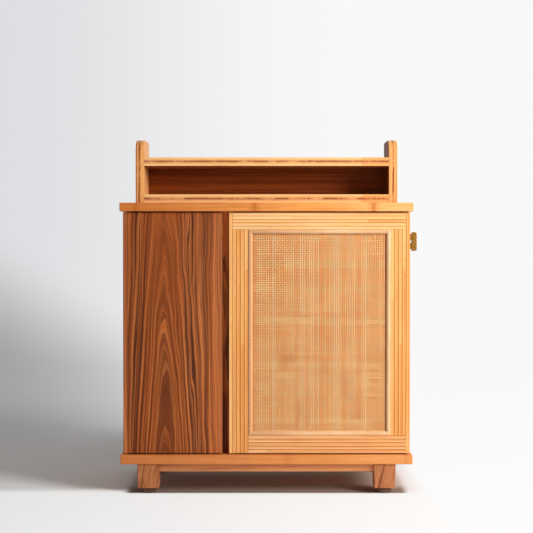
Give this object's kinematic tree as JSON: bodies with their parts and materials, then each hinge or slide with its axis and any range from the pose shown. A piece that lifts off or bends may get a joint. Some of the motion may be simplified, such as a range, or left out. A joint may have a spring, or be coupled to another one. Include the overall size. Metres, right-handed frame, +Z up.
{
  "type": "two-door cabinet with gallery",
  "caption": "Small free-standing cabinet on short legs with a walnut door, a cane door, an edge pull and a low open shelf unit on its top board.",
  "frame": {"origin": "on the floor, at the middle of the footprint of the top and base boards", "axes": "+Z up, the doors face -Y, +X to the right when facing the doors"},
  "size_m": [0.7098, 0.32, 0.849],
  "materials": {
    "bamboo": "oiled honey bamboo, satin",
    "bamboo_ply": "three-ply bamboo board, satin",
    "bamboo_strip": "laminated bamboo strips, satin",
    "dark_panel": "dark stained panel",
    "walnut": "oiled walnut",
    "leg_wood": "streaky hardwood, satin",
    "pale_bead": "pale sanded bead",
    "cane": "natural woven cane",
    "backing": "thin plywood",
    "foot_pad": "dark brown moulded pad",
    "catch": "dark moulded case",
    "steel": "zinc-plated steel",
    "brass": "satin brass"
  },
  "bodies": {
    "root": {"apron_front": "leg_wood", "apron_left": "leg_wood", "apron_rear": "leg_wood", "apron_right": "leg_wood", "back_panel": "dark_panel", "back_panel_screws": "steel", "base_board": "bamboo", "catch_cane_door": "catch", "catch_walnut_door": "catch", "centre_divider": "walnut", "foot_pad_screws": "steel", "foot_pads": "foot_pad", "gallery_back_panel": "dark_panel", "gallery_dowels": "bamboo", "gallery_lower_shelf": "bamboo_ply", "gallery_side_left": "bamboo_ply", "gallery_side_right": "bamboo_ply", "gallery_upper_shelf": "bamboo_ply", "hinge_plate_cane_bottom": "brass", "hinge_plate_cane_top": "brass", "hinge_plate_walnut_bottom": "brass", "hinge_plate_walnut_top": "brass", "hinge_screws_carcass": "brass", "hinge_washers": "brass", "leg_bolts": "steel", "leg_front_left": "leg_wood", "leg_front_right": "leg_wood", "leg_rear_left": "leg_wood", "leg_rear_right": "leg_wood", "shelf_left": "bamboo", "shelf_pins": "brass", "shelf_right": "bamboo", "side_panel_left": "bamboo", "side_panel_right": "bamboo", "top_board": "bamboo"},
    "walnut_door": {"hinge_leaf_walnut_bottom": "brass", "hinge_leaf_walnut_top": "brass", "hinge_screws_walnut_door": "brass", "strike_walnut_door": "steel", "walnut_door_panel": "walnut", "walnut_lipping_left": "walnut", "walnut_lipping_right": "walnut"},
    "cane_door": {"bead_bottom": "pale_bead", "bead_left": "pale_bead", "bead_right": "pale_bead", "bead_top": "pale_bead", "cane_backing_panel": "backing", "cane_door_edge_strip_left": "bamboo_strip", "cane_door_edge_strip_right": "bamboo_strip", "cane_door_rail_bottom": "bamboo_strip", "cane_door_rail_top": "bamboo_strip", "cane_door_stile_left": "bamboo_strip", "cane_door_stile_right": "bamboo_strip", "cane_panel": "cane", "edge_pull": "brass", "hinge_leaf_cane_bottom": "brass", "hinge_leaf_cane_top": "brass", "hinge_screws_cane_door": "brass", "pull_studs": "brass", "strike_cane_door": "steel"}
  },
  "joints": [
    {"name": "walnut_door_hinge", "type": "hinge", "parent": "root", "child": "walnut_door", "pos_m": [-0.336, -0.142, 0.385], "axis": [0, 0, -1], "range_deg": [0, 100]},
    {"name": "cane_door_hinge", "type": "hinge", "parent": "root", "child": "cane_door", "pos_m": [-0.083, -0.142, 0.385], "axis": [0, 0, -1], "range_deg": [0, 100]}
  ]
}
